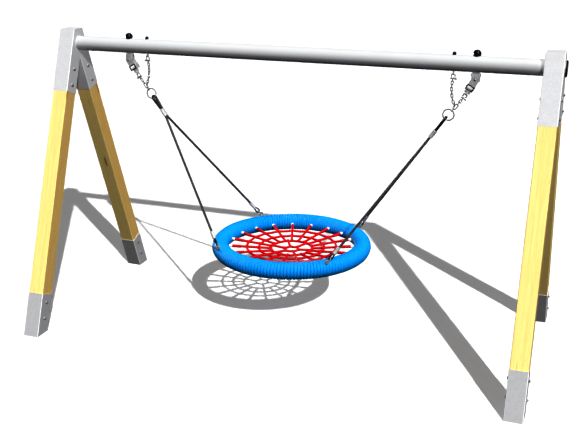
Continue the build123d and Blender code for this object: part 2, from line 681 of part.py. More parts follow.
def loop(plane, centre_y, loop_r, wire_r, mouth_y):
    """A teardrop loop of wire: a round end about (0, centre_y), and two legs that close in at mouth_y."""
    r = loop_r + wire_r
    mouth_x = wire_r + 0.1
    reach = mouth_y - centre_y
    tilt = math.asin(r / math.hypot(mouth_x, reach)) - math.atan2(mouth_x, reach)
    touch = (r * math.cos(tilt), centre_y + r * math.sin(tilt))
    left_leg = Line((-mouth_x, mouth_y), (-touch[0], touch[1]))
    arc = ThreePointArc((-touch[0], touch[1]), (0, centre_y - r), touch)
    right_leg = Line(touch, (mouth_x, mouth_y))
    path = Wire([plane * left_leg, plane * arc, plane * right_leg])
    section = Plane(origin=path @ 0, z_dir=path % 0) * Circle(wire_r)
    return sweep(section, path=path)


def ferrule(plane, start_y, half_width, half_thick, length):
    """Pressed oval ferrule along local y."""
    face = Plane(origin=plane.origin + plane.y_dir * start_y, x_dir=plane.x_dir, z_dir=plane.y_dir)
    return extrude(face * Ellipse(half_width, half_thick), amount=length)


def seat_eye_centre(pin_plane):
    return pin_plane.origin - pin_plane.y_dir * (SEAT_EYE_HOLE_R - SHACKLE_WIRE_R - CONTACT_GAP)


def seat_shank(centre, radius, start, end):
    """A round bar from the seat ring's centre line towards an eye's centre, between two distances."""
    flat = Vector(centre.X, centre.Y, 0).normalized() * SEAT_R
    tube_centre = Vector(flat.X, flat.Y, SEAT_Z)
    outwards = (centre - tube_centre).normalized()
    place = Plane(origin=tube_centre + outwards * start, z_dir=outwards)
    return place * Cylinder(radius, end - start, align=(Align.CENTER, Align.CENTER, Align.MIN))


def seat_eye(pin_plane):
    """Eye under a seat shackle's pin, with a shank down to the seat ring's tube."""
    centre = seat_eye_centre(pin_plane)
    eye = Plane(origin=centre, z_dir=pin_plane.x_dir) * Torus(SEAT_EYE_HOLE_R + SEAT_EYE_WIRE_R, SEAT_EYE_WIRE_R)
    flat = Vector(centre.X, centre.Y, 0).length - SEAT_R
    reach = math.hypot(flat, centre.Z - SEAT_Z)
    shank = seat_shank(centre, SEAT_SHANK_R, RING_TUBE_R + 0.2, reach - SEAT_EYE_HOLE_R - SEAT_EYE_WIRE_R)
    return eye + shank


def seat_thimble_plane(front):
    """Plane of a thimble: origin at the seat shackle's pin, local y up the rope, normal close to the radius."""
    end = seat_pin_place(front)
    radial = Vector(end.X, end.Y, 0).normalized()
    return plane_along(end, (rope_start(front) - end).normalized(), radial)


def seat_pin_plane(front):
    """Plane of a seat shackle: square to its thimble, with local x along the pin."""
    thimble = seat_thimble_plane(front)
    return Plane(origin=thimble.origin, x_dir=thimble.z_dir, z_dir=-thimble.x_dir)


def straight_rope(front):
    """One leg of the right-hand sling, from the eye's ferrule to the ferrule above its thimble."""
    start = rope_start(front)
    down = seat_pin_place(front) - start
    rope_plane = Plane(origin=start, z_dir=down.normalized())
    return extrude(rope_plane * Circle(ROPE_R), amount=down.length - THIMBLE_LENGTH - FERRULE_LENGTH)


def sling_head():
    """The right-hand sling's eye in the hanging ring, and the ferrule that holds its two legs together."""
    pull = pull_direction()
    plane = plane_along(rock_centre(), pull, Vector(-pull.Z, 0, pull.X))
    eye = loop(plane, EYE_LOOP_R - RING_WIRE_R - EYE_LOOP_GAP, EYE_LOOP_R, HOSE_R, EYE_LENGTH)
    sleeve = ferrule(plane, EYE_LENGTH, EYE_FERRULE_HALF_WIDTH, EYE_FERRULE_HALF_THICK, EYE_FERRULE_LENGTH)
    return {"ring_eyes": eye, "ferrules": sleeve - eye - straight_rope(True) - straight_rope(False)}


def sling_foot(front):
    """What holds one leg of the right-hand sling to the seat."""
    thimble_plane = seat_thimble_plane(front)
    pin_plane = seat_pin_plane(front)
    thimble_centre = SEAT_SHACKLE_LENGTH + THIMBLE_LOOP_R - SHACKLE_WIRE_R - CONTACT_GAP
    thimble = loop(thimble_plane, thimble_centre, THIMBLE_LOOP_R, THIMBLE_R, THIMBLE_LENGTH)
    sleeve = ferrule(thimble_plane, THIMBLE_LENGTH, FERRULE_HALF_WIDTH, FERRULE_HALF_THICK, FERRULE_LENGTH)
    return {
        "thimbles": thimble,
        "ferrules": sleeve - thimble,
        "seat_shackles": bow(pin_plane, SEAT_SHACKLE_HALF_WIDTH, SEAT_SHACKLE_LENGTH, SHACKLE_WIRE_R),
        "seat_shackle_pins": shackle_pin(pin_plane, SEAT_SHACKLE_HALF_WIDTH, SHACKLE_WIRE_R),
        "seat_eyes": seat_eye(pin_plane),
    }


# ---- seat ----

def seat_sleeve(inner_r, outer_r, start_angle=0.0, arc=360.0):
    """A hollow ring about the seat ring's centre line, or an arc of it."""
    section = Plane.XZ * Pos(SEAT_R, SEAT_Z) * (Circle(outer_r) - Circle(inner_r))
    return Rot(0, 0, start_angle) * revolve(section, axis=Axis.Z, revolution_arc=arc)


def pierced_quarters(inner_r, outer_r):
    """Four quarter lengths of a sleeve, each with a hole for its seat eye's shank."""
    quarters = []
    for front in (True, False):
        centre = seat_eye_centre(seat_pin_plane(front))
        hole = seat_shank(centre, SEAT_SHANK_R + RUNNING_GAP, RING_TUBE_R * 0.7, SEAT_EYE_REACH)
        quarter = seat_sleeve(inner_r, outer_r, -90.0 if front else 0.0, 90.0) - hole
        quarters.extend(both_sides(quarter).values())
    return group(quarters)


def net_height(radius):
    """Middle of the net at a radius: it dips evenly from the clips to the hub."""
    return SEAT_Z - NET_SAG * (1 - radius / NET_CLIP_RADIUS)


def net_strand(inner, outer, angle):
    """A straight strand of the net from one radius to another."""
    half = NET_ROPE / 2
    profile = [
        (inner, net_height(inner) - half),
        (outer, net_height(outer) - half),
        (outer, net_height(outer) + half),
        (inner, net_height(inner) + half),
    ]
    strand = extrude(Plane.XZ.offset(half) * Polygon(*profile, align=None), amount=NET_ROPE, dir=(0, 1, 0))
    return Rot(0, 0, angle) * strand


def radial_angles():
    """Angles of the net's radial ropes, with one of them pointing straight back."""
    return [90.0 + 360.0 * index / NET_RADIALS for index in range(NET_RADIALS)]


def net():
    half = NET_ROPE / 2
    hub_z = net_height(NET_HUB_RADIUS)
    hub = extrude(Plane.XY.offset(hub_z - half) * RegularPolygon(NET_HUB_RADIUS + half, 6), amount=NET_ROPE)
    hub -= extrude(Plane.XY.offset(hub_z - half) * RegularPolygon(NET_HUB_RADIUS - half, 6), amount=NET_ROPE)
    pieces = [hub]
    for radius in NET_RING_RADII:
        low = net_height(radius) - half
        ring = Cylinder(radius + half, NET_ROPE) - Cylinder(radius - half, NET_ROPE)
        pieces.append(Pos(0, 0, low + half) * ring)
    for index in range(NET_SPOKES):
        pieces.append(net_strand(NET_HUB_RADIUS, NET_RING_RADII[0], 360.0 * index / NET_SPOKES))
    outer = NET_CLIP_RADIUS - NET_CLIP_LENGTH / 2
    for angle in radial_angles():
        pieces.append(net_strand(NET_RING_RADII[0], outer, angle))
    return pieces[0].fuse(*pieces[1:]) - net_clips()


def net_clips():
    dip = math.degrees(math.atan2(NET_SAG, NET_CLIP_RADIUS))
    clip = Rot(0, 90 - dip, 0) * Cylinder(NET_CLIP_R, NET_CLIP_LENGTH)
    place = Pos(NET_CLIP_RADIUS, 0, SEAT_Z)
    return group([Rot(0, 0, angle) * place * clip for angle in radial_angles()])


# ---- nodes ----

def frame_nodes():
    nodes = {"beam_tube": beam_tube()}
    bolts, nuts = frame_fasteners()
    nodes["frame_bolts"] = bolts
    nodes["frame_bolt_nuts"] = nuts
    front_post = post()
    front_shoe = shoe()
    pieces = {
        "head_bracket": head_bracket(),
        "beam_cap": beam_cap(),
        "front_post": front_post,
        "rear_post": mirror(front_post, about=Plane.XZ),
        "front_shoe": front_shoe,
        "rear_shoe": mirror(front_shoe, about=Plane.XZ),
        "bearing_block": bearing_block(),
    }
    for name, piece in pieces.items():
        for side, shape in both_sides(piece).items():
            nodes[f"{side}_{name}"] = shape
    big_cap = dome_cap(HANGER_X, HANGER_CAP_R, HANGER_CAP_TOP, HANGER_CAP_CAVITY_R, HANGER_CAP_CAVITY_H)
    small_cap = dome_cap(SAFETY_X, SAFETY_CAP_R, SAFETY_CAP_TOP, SAFETY_CAP_CAVITY_R, SAFETY_CAP_CAVITY_H)
    pairs = {
        "swing_pins": swing_pin(),
        "hanger_bolts": hanger_bolt(),
        "hanger_caps": big_cap,
        "safety_eyebolts": safety_eyebolt(),
        "safety_nuts": safety_nut(),
        "safety_caps": small_cap,
    }
    for name, piece in pairs.items():
        nodes[name] = group(both_sides(piece).values())
    return nodes


def hanger_nodes():
    shackle = bow(shackle_plane(), SHACKLE_HALF_WIDTH, SHACKLE_PIN_DISTANCE - BOW_TOP, SHACKLE_WIRE_R)
    pieces = {
        "yoke": yoke(),
        "link": link(),
        "window_frames": window_frames(),
        "bearing_barrel": barrel(),
        "tongue": tongue(),
        "shackle": shackle,
        "main_chain": main_chain(),
        "hanging_ring": hanging_ring(),
        "safety_shackle": safety_shackle(),
        "safety_chain": safety_chain(),
        "hanger_pins": hanger_pins(),
    }
    nodes = {}
    for name, piece in pieces.items():
        for side, shape in both_sides(piece).items():
            nodes[f"{side}_{name}"] = shape
    return nodes


def seat_nodes():
    nodes = {}
    for end, front in (("front", True), ("rear", False)):
        for side, shape in both_sides(straight_rope(front)).items():
            nodes[f"{side}_{end}_rope"] = shape
    groups = {}
    for pieces in (sling_head(), sling_foot(True), sling_foot(False)):
        for name, piece in pieces.items():
            groups.setdefault(name, []).extend(both_sides(piece).values())
    for name, shapes in groups.items():
        nodes[name] = group(shapes)
    nodes["seat_ring_tube"] = seat_sleeve(RING_TUBE_R - RING_TUBE_WALL, RING_TUBE_R)
    nodes["seat_ring_foam"] = pierced_quarters(RING_TUBE_R, FOAM_R)
    nodes["seat_ring_winding"] = pierced_quarters(FOAM_R, WINDING_R)
    nodes["net"] = net()
    nodes["net_clips"] = net_clips()
    return nodes


def main():
    os.makedirs("parts", exist_ok=True)
    for nodes in (frame_nodes(), hanger_nodes(), seat_nodes()):
        for name, shape in nodes.items():
            export_step(shape, f"parts/{name}.step")
    pivot = rock_centre()
    print(f"rock axis: x {pivot.X:.2f} z {pivot.Z:.2f}")


main()
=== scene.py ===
import math

import bpy
import numpy as np
from mathutils import Matrix, Vector


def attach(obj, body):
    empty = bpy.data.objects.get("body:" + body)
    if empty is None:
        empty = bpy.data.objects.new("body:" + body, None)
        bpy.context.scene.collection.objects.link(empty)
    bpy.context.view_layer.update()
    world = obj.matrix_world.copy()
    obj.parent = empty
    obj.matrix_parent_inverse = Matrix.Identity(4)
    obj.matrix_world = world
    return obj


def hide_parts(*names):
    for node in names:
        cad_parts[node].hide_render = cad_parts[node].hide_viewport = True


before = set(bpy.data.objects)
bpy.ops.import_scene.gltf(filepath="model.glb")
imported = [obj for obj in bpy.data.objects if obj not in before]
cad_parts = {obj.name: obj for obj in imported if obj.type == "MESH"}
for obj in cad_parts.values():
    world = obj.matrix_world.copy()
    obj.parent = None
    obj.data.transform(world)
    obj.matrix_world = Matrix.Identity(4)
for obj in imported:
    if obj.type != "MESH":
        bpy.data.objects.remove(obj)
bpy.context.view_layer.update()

# A nest swing: laminated posts in folded steel brackets, a steel beam, two hangers and a wound ring seat.
# Metres. Origin on the ground below the middle of the beam. +X along the beam, +Y back, +Z up.

# Frame
FRAME_X = 1.800
LEG_LEAN = 20.0
POST_SIDE = 0.120
SLEEVE_SIDE = 0.1264
LAMELLAS = 3
SIDES = {"left": -1, "right": 1}

# Seat
SEAT_Z = 0.674
SEAT_R = 0.536
WINDING_R = 0.064
FOAM_R = 0.0445
WINDING_TURNS = 154
STEPS_PER_TURN = 28
WINDING_SIDES = 10
TURN_HALF_WIDTH = 0.515  # of the pitch, so that neighbouring turns overlap a little
NET_RADIALS = 19
NET_CLIP_RADIUS = 0.460
NET_CLIP_LENGTH = 0.023
NET_CLIP_R = 0.0115
NET_RING_RADII = (0.156, 0.249, 0.342)
NET_HUB_RADIUS = 0.055
NET_SPOKES = 6
NET_SAG = 0.041
NET_ROPE_R = 0.0088
NET_ROPE_SIDES = 10
NET_CROSSING_REACH = 0.011  # how far along the rope a crossing opens it
NET_CROSSING_SWELL = 0.34  # how much thicker the rope is there
NET_END_LENGTH = 0.075  # the thicker, doubled end of each radial rope
NET_END_SWELL = 0.26
NET_RING_DIP = 0.0035  # how far a ring rope hangs between two crossings

# Ropes
ROPE_R = 0.009
ROPE_STRANDS = 6
STRAND_SHARE = 0.36  # a strand's radius as a share of the rope's
ROPE_LAY = 0.126  # length of one full twist
PULL = (0.5757, 0.0, 0.8177)  # from the seat up towards the right-hand ring; the left one mirrors it
ROPE_INSIDE = 0.014  # how far each rope runs up into its eye's sleeve
ROPE_BEND = 0.034  # how far below the sleeve the rope has turned to its own line
EYE_SLEEVE_LENGTH = 0.062
EYE_SLEEVE_HALF_WIDTH = 0.022
EYE_SLEEVE_HALF_THICK = 0.015
FOOT_SLEEVE_LENGTH = 0.060
FOOT_SLEEVE_HALF_WIDTH = 0.0145
FOOT_SLEEVE_HALF_THICK = 0.013


# ---- shader maths ----

class Value:
    """One number that varies over a surface. Arithmetic on it adds Math nodes."""

    def __init__(self, finish, socket):
        self.finish = finish
        self.socket = socket

    def math(self, operation, *operands):
        return self.finish.node("ShaderNodeMath", {"operation": operation}, dict(enumerate(operands)))

    def __add__(self, other):
        return self.math("ADD", self, other)

    def __radd__(self, other):
        return self.math("ADD", other, self)

    def __sub__(self, other):
        return self.math("SUBTRACT", self, other)

    def __rsub__(self, other):
        return self.math("SUBTRACT", other, self)

    def __mul__(self, other):
        return self.math("MULTIPLY", self, other)

    def __rmul__(self, other):
        return self.math("MULTIPLY", other, self)

    def __truediv__(self, other):
        return self.math("DIVIDE", self, other)

    def __abs__(self):
        return self.math("ABSOLUTE", self)

    def sine(self):
        return self.math("SINE", self)

    def floor(self):
        return self.math("FLOOR", self)

    def fraction(self):
        return self.math("FRACT", self)

    def power(self, exponent):
        return self.math("POWER", self, exponent)

    def step_up(self, low, high):
        """0 below low and 1 above high, with a smooth rise between them."""
        settings = {"interpolation_type": "SMOOTHSTEP"}
        sockets = {"Value": self, "From Min": low, "From Max": high}
        return self.finish.node("ShaderNodeMapRange", settings, sockets)

    def spread(self, low, high):
        """0..1 stretched over low..high."""
        return self.finish.node("ShaderNodeMapRange", {}, {"Value": self, "To Min": low, "To Max": high})


class Finish:
    """A procedural material: one Principled shader and the nodes that feed it."""

    def __init__(self, name, **constants):
        self.material = bpy.data.materials.new(name)
        self.material.use_nodes = True
        self.tree = self.material.node_tree
        self.shader = self.tree.nodes["Principled BSDF"]
        for socket, value in constants.items():
            self.put(socket.replace("_", " ").title().replace("Ior", "IOR"), value)

    def put(self, socket, value):
        """Sets a socket of the shader, to a constant or to a value that varies."""
        self.connect(self.shader.inputs[socket], value)

    def connect(self, socket, value):
        if isinstance(value, Value):
            self.tree.links.new(value.socket, socket)
        else:
            socket.default_value = value

    def node(self, kind, settings=None, sockets=None, output=0):
        """Any node: its settings first, then the values or links of its sockets. Gives one output."""
        made = self.tree.nodes.new(kind)
        for name, value in (settings or {}).items():
            setattr(made, name, value)
        for key, value in (sockets or {}).items():
            self.connect(made.inputs[key], value)
        return Value(self, made.outputs[output])

    def place(self, turn=(0.0, 0.0, 0.0), centre=(0.0, 0.0, 0.0), scale=(1.0, 1.0, 1.0)):
        """Object coordinates about a centre, turned by angles in degrees and then scaled."""
        coordinates = self.node("ShaderNodeTexCoord", output="Object")
        moved = self.node("ShaderNodeVectorMath", {"operation": "SUBTRACT"}, {0: coordinates, 1: centre})
        turned = self.node(
            "ShaderNodeMapping", {"vector_type": "POINT"},
            {"Vector": moved, "Rotation": tuple(math.radians(a) for a in turn)},
        )
        return self.node("ShaderNodeVectorMath", {"operation": "MULTIPLY"}, {0: turned, 1: scale})

    def along(self, vector, axis):
        return self.node("ShaderNodeSeparateXYZ", {}, {"Vector": vector}, output=axis)

    def joined(self, x, y, z):
        return self.node("ShaderNodeCombineXYZ", {}, {"X": x, "Y": y, "Z": z})

    def noise(self, vector, scale, detail=3.0, roughness=0.5):
        sockets = {"Vector": vector, "Scale": scale, "Detail": detail, "Roughness": roughness}
        return self.node("ShaderNodeTexNoise", {}, sockets)

    def cells(self, vector, scale, output="Distance"):
        return self.node("ShaderNodeTexVoronoi", {}, {"Vector": vector, "Scale": scale}, output)

    def mix(self, factor, first, second):
        """Colours: the first where the factor is 0, the second where it is 1."""
        return self.node("ShaderNodeMix", {"data_type": "RGBA"}, {0: factor, 6: first, 7: second}, output=2)

    def bump(self, height, distance):
        """A bump of that many metres into the shader's Normal."""
        normal = self.node("ShaderNodeBump", {}, {"Height": height, "Distance": distance})
        self.put("Normal", normal)


def colour(red, green, blue):
    return (red, green, blue, 1.0)


# ---- finishes ----

def laminated_pine(name, lean, side):
    """Stained pine glued from three lamellas, with the grain along a leaning post."""
    finish = Finish(name, specular_ior_level=0.2)
    place = finish.place(turn=(lean, 0.0, 0.0), centre=(side * FRAME_X, 0.0, 0.0))
    x = finish.along(place, "X")
    y = finish.along(place, "Y")
    z = finish.along(place, "Z")
    stack = x / (POST_SIDE / LAMELLAS) + LAMELLAS / 2
    lamella = stack.floor()
    glue = abs(stack.fraction() - 0.5).step_up(0.488, 0.5)
    shift = lamella * 3.7
    slow = finish.noise(finish.joined(x * 3.0 + shift, y * 3.0, z * 0.55 + shift), 2.2, detail=2.0)
    ring_x = x + shift * 0.13 + slow * 0.035
    ring_y = y * 0.45 + 0.09
    radius = (ring_x * ring_x + ring_y * ring_y).power(0.5)
    rings = (radius * 900.0 + slow * 9.0).sine().spread(0.5, 1.0).power(2.0)
    fibre = finish.noise(finish.joined(x * 55.0 + shift, y * 55.0, z * 1.6), 6.0, detail=4.0, roughness=0.6)
    broad = finish.noise(finish.joined(x * 30.0 + shift, y * 30.0, z * 0.9), 2.5, detail=3.0)
    knot_place = finish.joined(x * 7.0 + shift, y * 7.0, z * 2.1 + shift)
    knots = 1.0 - finish.cells(knot_place, 1.0).step_up(0.05, 0.15)
    flecks = finish.noise(finish.joined(x * 42.0, y * 42.0, z * 9.0), 2.6, detail=5.0, roughness=0.7)
    flecks = flecks.step_up(0.56, 0.70) * x.step_up(0.018, 0.050)
    pale = colour(0.90, 0.76, 0.38)
    honey = colour(0.82, 0.61, 0.24)
    amber = colour(0.74, 0.46, 0.13)
    base = finish.mix(rings * 0.42, pale, honey)
    base = finish.mix(broad.step_up(0.40, 0.66) * 0.35, base, honey)
    base = finish.mix(fibre.step_up(0.45, 0.75) * 0.30, base, amber)
    base = finish.mix(flecks * 0.40, base, colour(0.66, 0.38, 0.10))
    base = finish.mix(knots * 0.75, base, colour(0.34, 0.15, 0.035))
    base = finish.mix(glue * 0.50, base, colour(0.46, 0.26, 0.07))
    finish.put("Base Color", base)
    finish.put("Roughness", fibre.spread(0.50, 0.70))
    finish.bump(fibre * 0.5 + rings * 0.3 - glue * 0.8, 0.0006)
    return finish.material


def galvanised_sheet(name, bright, mottle, side):
    """Zinc-coated folded sheet: faint crystals and rolled streaks, a painted highlight along the bends and
    painted shade on the side faces.
    """
    finish = Finish(name, specular_ior_level=0.15)
    place = finish.place(centre=(side * FRAME_X, 0.0, 0.0))
    x = finish.along(place, "X")
    y = finish.along(place, "Y")
    z = finish.along(place, "Z")
    crystal = finish.along(finish.cells(place, 110.0, output="Color"), "X")
    cloud = finish.noise(place, 14.0, detail=5.0, roughness=0.62)
    streak = finish.noise(finish.joined(x * 70.0, y * 70.0, z * 3.0), 3.0, detail=3.0)
    facing = abs(finish.along(finish.node("ShaderNodeTexCoord", output="Normal"), "X"))
    # Faces turned along X, the sides: painted shade darkens them, and the painted bend highlight is kept off
    # them.
    shaded_side_faces = facing.step_up(0.80, 0.97)
    # A band along the long edges, where the sheet is bent; it carries a painted highlight.
    bend_highlight_band = abs(x).step_up(SLEEVE_SIDE / 2 - 0.0065, SLEEVE_SIDE / 2 - 0.0025)
    bend = bend_highlight_band * (1.0 - shaded_side_faces)
    grain = crystal * (0.12 + mottle * 0.5) + cloud * (0.30 + mottle) + streak * 0.40
    # Random grain, less painted shade where the faces turn to the sides.
    tone_and_painted_light = grain - shaded_side_faces * (0.08 + cloud * 0.25)
    low = colour(bright * 0.84, bright * 0.845, bright * 0.85)
    high = colour(bright, bright, bright * 1.02)
    base = finish.mix(tone_and_painted_light.step_up(0.10, 0.62 + mottle), low, high)
    # Painted highlight: near-white along the bends of the front and back faces.
    base = finish.mix(bend * 0.80, base, colour(0.93, 0.93, 0.94))
    finish.put("Base Color", base)
    finish.put("Metallic", cloud.spread(0.02, 0.10))
    finish.put("Roughness", (crystal * 0.5 + cloud * 0.5).spread(0.40, 0.58))
    finish.bump(crystal * 0.3 + cloud, 0.0004)
    return finish.material


def beam_steel():
    """Drawn steel tube with a smooth zinc coat, and fine lines along it."""
    finish = Finish("beam_steel", metallic=0.05, specular_ior_level=0.2)
    place = finish.place(scale=(1.5, 90.0, 90.0))
    lines = finish.noise(place, 4.0, detail=4.0)
    cloud = finish.noise(finish.place(), 5.0, detail=4.0)
    base = finish.mix(lines * 0.5 + cloud * 0.5, colour(0.55, 0.554, 0.558), colour(0.63, 0.634, 0.638))
    finish.put("Base Color", base)
    finish.put("Roughness", cloud.spread(0.36, 0.52))
    finish.bump(lines * 0.4 + cloud, 0.0002)
    return finish.material


def plain_metal(name, dark, light, metallic, rough_low, rough_high, grain):
    """Plated or cast metal: cloudy brightness and gloss, with a fine grain."""
    finish = Finish(name, metallic=metallic)
    place = finish.place()
    cloud = finish.noise(place, 40.0, detail=4.0, roughness=0.6)
    fine = finish.noise(place, 420.0, detail=2.0)
    finish.put("Base Color", finish.mix(cloud.step_up(0.3, 0.7), dark, light))
    finish.put("Roughness", cloud.spread(rough_low, rough_high))
    finish.bump(fine * 0.6 + cloud * 0.4, grain)
    return finish.material


def moulded_plastic(name, base, rough):
    """Moulded plastic with a fine spark-eroded texture."""
    finish = Finish(name, specular_ior_level=0.3)
    place = finish.place()
    cloud = finish.noise(place, 30.0, detail=3.0)
    pits = finish.noise(place, 900.0, detail=2.0)
    lighter = tuple(min(1.0, c * 1.18 + 0.006) for c in base[:3]) + (1.0,)
    finish.put("Base Color", finish.mix(cloud, base, lighter))
    finish.put("Roughness", (cloud * 0.5 + pits * 0.5).spread(rough - 0.08, rough + 0.10))
    finish.bump(pits, 0.00008)
    return finish.material


def braided_rope(name, painted_valley_shade, crown, plait, strands, depth):
    """Braided sleeve on a tube's own map: u is metres along the rope, v is once round it. The weave's valleys
    carry painted shade.
    """
    finish = Finish(name, specular_ior_level=0.18)
    maps = finish.node("ShaderNodeUVMap", {"uv_map": "rope"})
    u = finish.along(maps, "X") / plait
    v = finish.along(maps, "Y") * strands
    right = ((u + v) * math.tau).sine()
    left = ((u - v) * math.tau).sine()
    weave = abs(right * left).power(0.5)
    wear = finish.noise(finish.place(), 60.0, detail=3.0)
    # Painted shade in the weave's valleys, mixed with real wear; the crowns keep the rope's own colour.
    tone_and_painted_light = (weave * 0.75 + wear * 0.35).step_up(0.05, 0.95)
    finish.put("Base Color", finish.mix(tone_and_painted_light, painted_valley_shade, crown))
    finish.put("Roughness", weave.spread(0.66, 0.50))
    finish.bump(weave, depth)
    return finish.material


def twisted_rope():
    """Black laid rope: yarns run along each strand, and the strands' crowns are painted a little grey as a
    highlight, mixed with wear.
    """
    finish = Finish("twisted_rope", specular_ior_level=0.4)
    maps = finish.node("ShaderNodeUVMap", {"uv_map": "rope"})
    u = finish.along(maps, "X")
    v = finish.along(maps, "Y") * ROPE_STRANDS
    yarn = ((v * 5.0 - u * 260.0) * math.tau).sine().spread(0.0, 1.0)
    # Painted highlight: the middle of each strand is mixed towards grey.
    crown = abs(v.fraction() - 0.5).step_up(0.5, 0.12)
    wear = finish.noise(finish.place(), 80.0, detail=3.0)
    tone_and_painted_light = (crown * 0.6 + yarn * 0.2 + wear * 0.3).step_up(0.2, 1.0)
    finish.put("Base Color", finish.mix(tone_and_painted_light, colour(0.008, 0.008, 0.009), colour(0.15, 0.15, 0.155)))
    finish.put("Roughness", wear.spread(0.42, 0.62))
    finish.bump(yarn, 0.0005)
    return finish.material


def hose_rubber():
    """Black hose over the rope's eyes: smooth, unevenly worn, with a soft gloss."""
    finish = Finish("hose_rubber", specular_ior_level=0.5)
    wear = finish.noise(finish.place(), 120.0, detail=3.0)
    finish.put("Base Color", finish.mix(wear, colour(0.010, 0.010, 0.011), colour(0.034, 0.034, 0.036)))
    finish.put("Roughness", wear.spread(0.30, 0.46))
    finish.bump(wear, 0.0002)
    return finish.material


def set_finish(material, *nodes):
    """Gives CAD nodes a finish."""
    for name in nodes:
        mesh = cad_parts[name].data
        mesh.materials.clear()
        mesh.materials.append(material)


# ---- rope and ring meshes ----

def tube(name, centres, across, outward, offsets, closed, material):
    """A mesh tube. offsets holds each section's points as (across, outward) pairs, in metres."""
    rows, sides = offsets.shape[:2]
    points = (
        centres[:, None, :]
        + across[:, None, :] * offsets[..., 0:1]
        + outward[:, None, :] * offsets[..., 1:2]
    )
    last = rows if closed else rows - 1
    row = np.repeat(np.arange(last), sides)
    side = np.tile(np.arange(sides), last)
    next_row = (row + 1) % rows
    next_side = (side + 1) % sides
    quads = np.stack([row * sides + side, row * sides + next_side,
                      next_row * sides + next_side, next_row * sides + side], axis=1)
    faces = quads.tolist()
    if not closed:
        faces.append(list(range(sides))[::-1])
        faces.append([(rows - 1) * sides + k for k in range(sides)])
    mesh = bpy.data.meshes.new(name)
    mesh.from_pydata(points.reshape(-1, 3).tolist(), [], faces)
    steps = np.linalg.norm(np.roll(centres, -1, axis=0) - centres, axis=1)
    length = np.concatenate([[0.0], np.cumsum(steps)])
    u = np.stack([length[row], length[row], length[row + 1], length[row + 1]], axis=1)
    v = np.stack([side, side + 1, side + 1, side], axis=1) / sides
    flat = np.zeros((len(mesh.loops), 2), np.float32)
    flat[: u.size, 0] = u.ravel()
    flat[: u.size, 1] = v.ravel()
    mesh.uv_layers.new(name="rope").data.foreach_set("uv", flat.ravel())
    mesh.shade_smooth()
    mesh.materials.append(material)
    piece = bpy.data.objects.new(name, mesh)
    bpy.context.scene.collection.objects.link(piece)
    return piece


def circle_offsets(rows, sides, radius):
    """Round sections. radius is one number, or one for each row."""
    angles = np.arange(sides) * math.tau / sides
    ring = np.stack([np.cos(angles), np.sin(angles)], axis=1)
    return ring[None] * np.broadcast_to(np.asarray(radius, float), (rows,))[:, None, None]


def ends_of(node):
    """The centres of a straight bar's two end faces, the lower one first."""
    points = np.array([v.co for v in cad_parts[node].data.vertices])
    middle = points.mean(axis=0)
    direction = np.linalg.svd(points - middle)[2][0]
    direction *= math.copysign(1.0, direction[2])
    reach = (points - middle) @ direction
    low = points[reach < reach.min() + 0.0005].mean(axis=0)
    high = points[reach > reach.max() - 0.0005].mean(axis=0)
    return low, high


def square_to(directions):
    """Two unit vectors square to each direction and to each other."""
    across = np.cross(directions, [0.0, 0.0, 1.0])
    across /= np.linalg.norm(across, axis=1)[:, None]
    return across, np.cross(directions, across)


def rope_line(node, side):
    """A rope's centre line from the seat up: straight, then turned into the sleeve along the pull."""
    low, high = ends_of(node)
    direction = (high - low) / np.linalg.norm(high - low)
    pull = np.array([side * PULL[0], PULL[1], PULL[2]])
    bend_start = high - direction * ROPE_BEND
    inside = high + pull * ROPE_INSIDE
    straight = np.linspace(0.0, 1.0, 140)[:-1, None]
    turn = np.linspace(0.0, 1.0, 16)[:, None]
    bend = (1 - turn) ** 2 * bend_start + 2 * turn * (1 - turn) * high + turn ** 2 * inside
    return np.concatenate([low + straight * (bend_start - low), bend])


def lay_rope(node, side, material):
    """A laid rope of six strands, pulled taut."""
    centres = rope_line(node, side)
    directions = np.gradient(centres, axis=0)
    directions /= np.linalg.norm(directions, axis=1)[:, None]
    across, outward = square_to(directions)
    steps = np.linalg.norm(np.diff(centres, axis=0), axis=1)
    travel = np.concatenate([[0.0], np.cumsum(steps)])
    per_strand = 6
    sides = ROPE_STRANDS * per_strand
    strand_r = ROPE_R * STRAND_SHARE
    ring_r = ROPE_R - strand_r
    angles = np.arange(sides) * math.tau / sides
    from_crown = ((angles * ROPE_STRANDS / math.tau + 0.5) % 1.0 - 0.5) * math.tau / ROPE_STRANDS
    reach = ring_r * np.cos(from_crown) + np.sqrt(strand_r ** 2 - (ring_r * np.sin(from_crown)) ** 2 + 1e-12)
    turned = angles[None] + travel[:, None] * math.tau / ROPE_LAY
    offsets = np.stack([np.cos(turned), np.sin(turned)], axis=2) * reach[None, :, None]
    piece = tube(node.replace("rope", "laid_rope"), centres, across, outward, offsets, False, material)
    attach(piece, "seat")
    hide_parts(node)
    return piece


